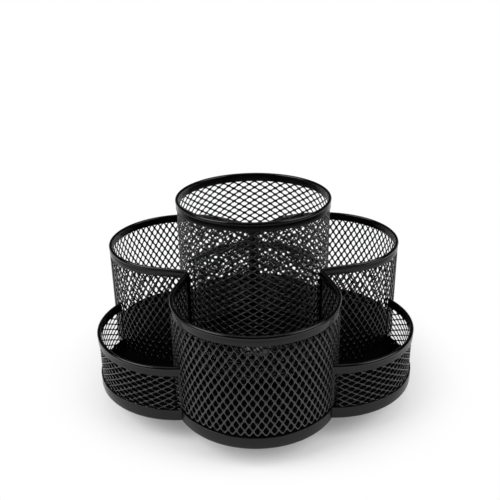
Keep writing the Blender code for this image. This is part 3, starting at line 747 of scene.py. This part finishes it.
black_mesh = finish_of(
    "black_coated_mesh", PAINT_TONE, MESH_GLOSS, PAINT_ROUGH, MESH_MOTTLE, MESH_RELIEF
)
mesh_radius = TALL_RADIUS - MESH_INSET
mesh_height = wall_height(TALL_RIM_HIGH)
mesh_length = 2 * math.pi * mesh_radius
points, faces = expanded_steel(mesh_length, mesh_height, TALL_HOLES, TALL_STRAND, TALL_LEAN, True)
points[:, 0] += TALL_MESH_TURN * mesh_radius
points = around_axis(points, mesh_radius)
points[:, 2] += WALL_LOW
new_piece(
    "tall_cup_mesh", points, faces, black_mesh, "organizer", ["tall_cup_wall"], MESH_CREASE
)
outline = rim_outline(TALL_RIM_HIGH)
outline[:, 0] = TALL_RADIUS - outline[:, 0]
turned("tall_cup_rolled_rim", outline, black_paint, "organizer", ["tall_cup_rim"])
ring_outline = eased(
    [
        (TALL_RADIUS - RIM_WIDTH, TRAY_FLOOR_HIGH, EDGE_EASE),
        (TALL_RADIUS, TRAY_FLOOR_HIGH, EDGE_EASE),
        (TALL_RADIUS, FOOT_RING_HIGH, SKIN_EASE),
        (TALL_RADIUS - RIM_SKIN, FOOT_RING_HIGH, SKIN_EASE),
        (TALL_RADIUS - RIM_SKIN, TRAY_FLOOR_HIGH + RIM_SKIN, 0.0),
        (TALL_RADIUS - RIM_WIDTH + RIM_SKIN, TRAY_FLOOR_HIGH + RIM_SKIN, 0.0),
        (TALL_RADIUS - RIM_WIDTH + RIM_SKIN, FOOT_RING_HIGH, SKIN_EASE),
        (TALL_RADIUS - RIM_WIDTH, FOOT_RING_HIGH, SKIN_EASE),
    ]
)
turned("tall_cup_channel", ring_outline, black_paint, "organizer", ["tall_cup_foot_ring"])

# Middle cups: walls of expanded steel with their diamonds upright, which swell a little between the tray's
# lip and a rolled rim. Each curves out from the tall cup and back, with a straight run at each end, and its
# upright edges are bound in steel strips welded to the tall cup.
CUP_GAP = 0.0003
TURN_IN = math.radians(22.4)
MIDDLE_RIM_HIGH = 0.0721
MIDDLE_HOLES = (47, 18)
MIDDLE_STRAND = (0.00085, 0.00050)
MIDDLE_LEAN = (0.0, 0.0)
MIDDLE_SWELL = 0.00045
SWELL_RUN = 0.0020
SWELL_END = 0.0060
MIDDLE_MESH_STOP = 0.0418
MIDDLE_RIM_STOP = 0.0416
ARC_STEPS = 120
STRIP_WIDTH = 0.0007
STRIP_INSET = (0.0007, 0.0013)
STRIP_EASE = 0.0002
STRIP_TOP_SHARE = 0.6


def arc_turn():
    """Half the angle of a middle wall's arc.

    It is the direction, from the cup's centre, of the corner where two middle walls meet by the tall cup,
    less the angle by which a wall turns in to run there straight.
    """
    distance = TALL_RADIUS + CUP_GAP
    direction = CUP_SPACING - math.asin(CUP_GAP / 2 / distance)
    ahead = distance * math.cos(direction) - MIDDLE_DISTANCE
    return math.atan2(distance * math.sin(direction), ahead) - TURN_IN


def straight_length(inset, stop):
    """Length of a middle wall's straight end, from its arc to a circle about the spin axis."""
    x = MIDDLE_DISTANCE + (MIDDLE_RADIUS - inset) * math.cos(middle_turn)
    y = (MIDDLE_RADIUS - inset) * math.sin(middle_turn)
    ahead = -x * math.sin(middle_turn) + y * math.cos(middle_turn)
    return -ahead - np.sqrt(ahead**2 - (x**2 + y**2 - stop**2))


def middle_place(inset, along):
    """Plan of a middle wall at an inset, with its cup along +X: an arc with a straight run at each end.

    along is the distance from the cup's outermost point, and runs on past the arc in a straight line.
    """
    radius = MIDDLE_RADIUS - inset
    reach = radius * middle_turn
    turn = np.clip(along, -reach, reach) / radius
    past = along - turn * radius
    x = MIDDLE_DISTANCE + radius * np.cos(turn) - past * np.sin(turn)
    y = radius * np.sin(turn) + past * np.cos(turn)
    return np.stack([x, y], axis=-1)


def middle_rows(inset, stop):
    """Rows of a middle wall's plan from stop to stop, one for each inset."""
    inset = inset[:, None]
    reach = (MIDDLE_RADIUS - inset) * middle_turn
    arc = reach * np.linspace(-1.0, 1.0, ARC_STEPS)[None, :]
    end = reach + straight_length(inset, stop)
    return middle_place(inset, np.concatenate([-end, arc, end], axis=1))


def swell(along, up, half_length):
    """How far a middle wall swells out between the tray's lip and its rim, to lie nearly flush with both.

    The share is the distance to the nearest edge over its run, at most 1, put through 3s^2 - 2s^3.
    """
    above_lip = (up + WALL_LOW - LIP_HIGH) / SWELL_RUN
    below_rim = (MIDDLE_RIM_HIGH - RIM_HEIGHT - WALL_LOW - up) / SWELL_RUN
    from_end = (half_length - np.abs(along)) / SWELL_END
    share = np.clip(np.minimum(np.minimum(above_lip, below_rim), from_end), 0.0, 1.0)
    return MIDDLE_SWELL * share**2 * (3 - 2 * share)


def carried(name, rows, height, angle, node):
    """A section carried along the rows of a plan, with both ends closed by a flat face."""
    plan = rotated(rows, angle)
    high = np.broadcast_to(height[:, None, None], (*plan.shape[:2], 1))
    points = np.concatenate([plan, high], axis=-1)
    count, stations = plan.shape[:2]
    faces = grid_faces(count, stations, False)
    start = np.arange(count) * stations
    faces += [start.tolist(), (start[::-1] + stations - 1).tolist()]
    new_piece(name, points, faces, black_paint, "organizer", [node])


def upright_bar(name, outline, high, angle, node):
    """A closed outline, anticlockwise from above, carried up from the tray, with both ends closed."""
    plan = rotated(outline, angle)
    count = len(plan)
    levels = np.array([TRAY_FLOOR_HIGH, high])[:, None, None]
    points = np.concatenate(
        [np.broadcast_to(plan, (2, count, 2)), np.broadcast_to(levels, (2, count, 1))], axis=-1
    )
    first = np.arange(count)
    second = (first + 1) % count
    faces = np.stack([first, second, second + count, first + count], axis=-1).tolist()
    faces += [first[::-1].tolist(), (first + count).tolist()]
    new_piece(name, points, faces, black_paint, "organizer", [node])


def mirrored(outline):
    """The outline's mirror image across the cup's own axis, anticlockwise again."""
    return (outline * np.array([1.0, -1.0]))[::-1]


def strip_outline(place, end, inner_end):
    """A flat bar with rounded edges along a wall's last stretch, STRIP_WIDTH long, through place."""
    outer, inner = STRIP_INSET
    corners = eased(
        [
            (outer, end, 0.0),
            (inner, inner_end, 0.0),
            (inner, inner_end - STRIP_WIDTH, STRIP_EASE),
            (outer, end - STRIP_WIDTH, STRIP_EASE),
        ]
    )
    return place(corners[:, 0], corners[:, 1])


def outer_cup(cup, angle, rim_high, plan, points, faces, rim_rows, bar):
    """A middle or low cup turned to its place: its wall, its rim and the bars on its upright edges."""
    wall = np.concatenate([rotated(plan, angle), points[:, 1:2] + WALL_LOW], axis=-1)
    new_piece(
        cup + "_mesh", wall, faces, black_mesh, "organizer", [cup + "_wall"], MESH_CREASE
    )
    carried(cup + "_rolled_rim", rim_rows, rim_outline(rim_high)[:, 1], angle, cup + "_rim")
    bar_high = rim_high - RIM_HEIGHT * STRIP_TOP_SHARE
    for hand, shape in (("left", bar), ("right", mirrored(bar))):
        node = cup + "_strip_" + hand
        upright_bar(node + "_bar", shape, bar_high, angle, node)


middle_turn = arc_turn()
mesh_radius = MIDDLE_RADIUS - MESH_INSET
mesh_length = 2 * (mesh_radius * middle_turn + float(straight_length(MESH_INSET, MIDDLE_MESH_STOP)))
mesh_height = wall_height(MIDDLE_RIM_HIGH)
points, faces = expanded_steel(mesh_length, mesh_height, MIDDLE_HOLES, MIDDLE_STRAND, MIDDLE_LEAN, False)
out = points[:, 2] + swell(points[:, 0], points[:, 1], mesh_length / 2)
along = points[:, 0] * (mesh_radius + out) / mesh_radius
plan = middle_place(MESH_INSET - out, along)
rim_rows = middle_rows(rim_outline(MIDDLE_RIM_HIGH)[:, 0], MIDDLE_RIM_STOP)
outer_end = MIDDLE_RADIUS * middle_turn + float(straight_length(0.0, MIDDLE_RIM_STOP))
inner_end = (MIDDLE_RADIUS - RIM_WIDTH) * middle_turn + float(straight_length(RIM_WIDTH, MIDDLE_RIM_STOP))
bar = strip_outline(middle_place, outer_end, inner_end)
for cup, side in MIDDLE_CUPS.items():
    outer_cup(cup, math.radians(side), MIDDLE_RIM_HIGH, plan, points, faces, rim_rows, bar)

# Low cups: short walls of expanded steel with their diamonds lying, from one middle cup to the next, under
# a rolled rim. Their upright edges are bound in strips that are welded to the middle cups.
LOW_RIM_HIGH = 0.0423
LOW_HOLES = (16, 16)
LOW_STRAND = (0.00055, 0.00045)
LOW_LEAN = (0.0, 0.00015)
LOW_STOP = 0.0418


def low_end(inset):
    """Direction in which a low wall at an inset meets the next middle cup."""
    return crossing(LOW_DISTANCE, LOW_RADIUS - inset, MIDDLE_DISTANCE, LOW_STOP)


def low_place(inset, along):
    """Plan of a low wall at an inset, with its cup along +X. along is measured on the outer face."""
    turn = along / LOW_RADIUS
    radius = LOW_RADIUS - inset
    return np.stack([LOW_DISTANCE + radius * np.cos(turn), radius * np.sin(turn)], axis=-1)


mesh_end = float(low_end(MESH_INSET)) * LOW_RADIUS
mesh_height = wall_height(LOW_RIM_HIGH)
points, faces = expanded_steel(2 * mesh_end, mesh_height, LOW_HOLES, LOW_STRAND, LOW_LEAN, False)
plan = low_place(MESH_INSET - points[:, 2], points[:, 0])
rim_inset = rim_outline(LOW_RIM_HIGH)[:, :1]
ends = low_end(rim_inset) * LOW_RADIUS
rim_rows = low_place(rim_inset, ends * np.linspace(-1.0, 1.0, ARC_STEPS)[None, :])
bar = strip_outline(low_place, float(low_end(0.0)) * LOW_RADIUS, float(low_end(RIM_WIDTH)) * LOW_RADIUS)
for cup, side in LOW_CUPS.items():
    outer_cup(cup, math.radians(side), LOW_RIM_HIGH, plan, points, faces, rim_rows, bar)
